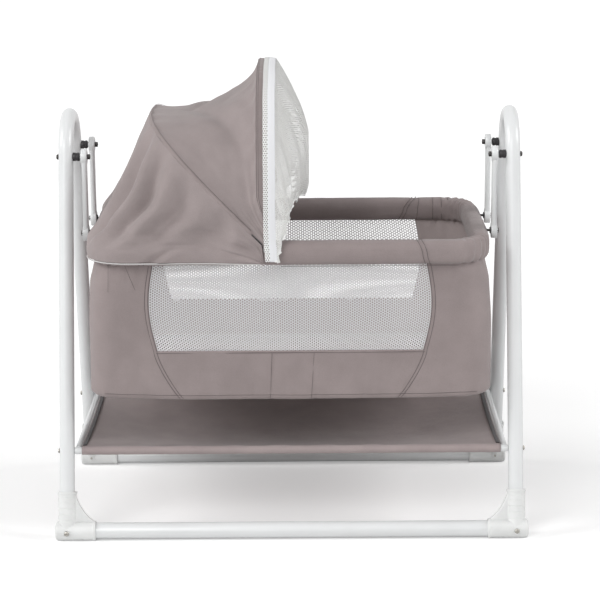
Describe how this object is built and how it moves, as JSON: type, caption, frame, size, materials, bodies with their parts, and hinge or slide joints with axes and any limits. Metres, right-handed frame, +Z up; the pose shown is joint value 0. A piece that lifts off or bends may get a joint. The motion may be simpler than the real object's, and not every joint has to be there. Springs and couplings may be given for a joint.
{
  "type": "baby cradle",
  "caption": "Baby cradle with a padded rim, mesh windows, a folding fabric hood and a net, swung by flat hanger arms in a tubular steel stand with a fabric shelf.",
  "frame": {"origin": "centre of the stand on the floor", "axes": "+X along the cradle away from the hood, -Y towards the long side seen in the picture, +Z up"},
  "size_m": [1.1, 0.6636, 1.0822],
  "materials": {
    "white_paint": "gloss powder coat",
    "white_plastic": "satin",
    "black_plastic": "satin",
    "zinc_steel": "zinc plated",
    "spring_wire": "bright drawn wire",
    "taupe_cloth": "plain weave",
    "shelf_cloth": "plain weave",
    "white_tape": "woven tape",
    "white_net": "fine net",
    "board": "hardboard",
    "mattress_cover": "quilted cover"
  },
  "bodies": {
    "stand": {"end_frame_left": "white_paint", "end_frame_right": "white_paint", "base_tube_front": "white_paint", "base_tube_rear": "white_paint", "corner_joint_front_left": "white_plastic", "corner_joint_front_right": "white_plastic", "corner_joint_rear_left": "white_plastic", "corner_joint_rear_right": "white_plastic", "corner_bolt_front_left": "zinc_steel", "corner_bolt_front_right": "zinc_steel", "corner_bolt_rear_left": "zinc_steel", "corner_bolt_rear_right": "zinc_steel", "pivot_bolt_front_left": "zinc_steel", "pivot_bolt_front_right": "zinc_steel", "pivot_bolt_rear_left": "zinc_steel", "pivot_bolt_rear_right": "zinc_steel", "pivot_spacer_front_left": "black_plastic", "pivot_spacer_front_right": "black_plastic", "pivot_spacer_rear_left": "black_plastic", "pivot_spacer_rear_right": "black_plastic", "shelf_bar_front": "white_paint", "shelf_bar_rear": "white_paint", "shelf_side_tube_left": "white_paint", "shelf_side_tube_right": "white_paint", "shelf_screw_front_left": "zinc_steel", "shelf_screw_front_right": "zinc_steel", "shelf_screw_rear_left": "zinc_steel", "shelf_screw_rear_right": "zinc_steel", "shelf_fabric": "shelf_cloth"},
    "arm_front_left": {"hanger_arm_front_left": "white_paint"},
    "arm_front_right": {"hanger_arm_front_right": "white_paint"},
    "arm_rear_left": {"hanger_arm_rear_left": "white_paint"},
    "arm_rear_right": {"hanger_arm_rear_right": "white_paint"},
    "cradle": {"rim_tube": "white_paint", "rim_pad": "taupe_cloth", "rim_bolt_front_left": "zinc_steel", "rim_bolt_front_right": "zinc_steel", "rim_bolt_rear_left": "zinc_steel", "rim_bolt_rear_right": "zinc_steel", "rim_washer_front_left": "black_plastic", "rim_washer_front_right": "black_plastic", "rim_washer_rear_left": "black_plastic", "rim_washer_rear_right": "black_plastic", "body_fabric": "taupe_cloth", "window_net_front": "white_net", "window_net_rear": "white_net", "base_board": "board", "mattress": "mattress_cover", "hood_pin_front": "zinc_steel", "hood_pin_rear": "zinc_steel", "hood_panel_rear": "taupe_cloth", "hood_piping": "white_tape"},
    "hood_mid": {"hood_mid_bow": "spring_wire", "hood_mid_sleeve": "taupe_cloth", "hood_panel_front": "taupe_cloth"},
    "hood_front": {"hood_front_bow": "spring_wire", "hood_front_sleeve": "taupe_cloth", "hood_tape": "white_tape", "hood_net": "white_net"}
  },
  "joints": [
    {"name": "swing", "type": "hinge", "parent": "stand", "child": "arm_front_left", "pos_m": [-0.4799, -0.09696, 0.869], "axis": [1, 0, 0], "range_deg": [-20, 20]},
    {"name": "arm_front_right_turn", "type": "hinge", "parent": "stand", "child": "arm_front_right", "pos_m": [0.4799, -0.09696, 0.869], "axis": [1, 0, 0], "range_deg": [-20, 20]},
    {"name": "arm_rear_left_turn", "type": "hinge", "parent": "stand", "child": "arm_rear_left", "pos_m": [-0.4799, 0.09696, 0.869], "axis": [1, 0, 0], "range_deg": [-20, 20]},
    {"name": "arm_rear_right_turn", "type": "hinge", "parent": "stand", "child": "arm_rear_right", "pos_m": [0.4799, 0.09696, 0.869], "axis": [1, 0, 0], "range_deg": [-20, 20]},
    {"name": "cradle_level", "type": "hinge", "parent": "arm_front_left", "child": "cradle", "pos_m": [-0.4799, -0.09696, 0.688], "axis": [1, 0, 0], "range_deg": [-20, 20]},
    {"name": "hood_rear_fold", "type": "hinge", "parent": "cradle", "child": "hood_mid", "pos_m": [-0.05, 0, 0.688], "axis": [0, -1, 0], "range_deg": [0, 34], "deforming": ["hood_panel_rear"]},
    {"name": "hood_front_fold", "type": "hinge", "parent": "hood_mid", "child": "hood_front", "pos_m": [-0.05, 0, 0.688], "axis": [0, -1, 0], "range_deg": [0, 30], "deforming": ["hood_panel_front", "hood_net"]}
  ],
  "couplings": [
    {"joint": "arm_front_right_turn", "follows": "swing", "ratio": 1},
    {"joint": "arm_rear_left_turn", "follows": "swing", "ratio": 1},
    {"joint": "arm_rear_right_turn", "follows": "swing", "ratio": 1},
    {"joint": "cradle_level", "follows": "swing", "ratio": -1}
  ]
}
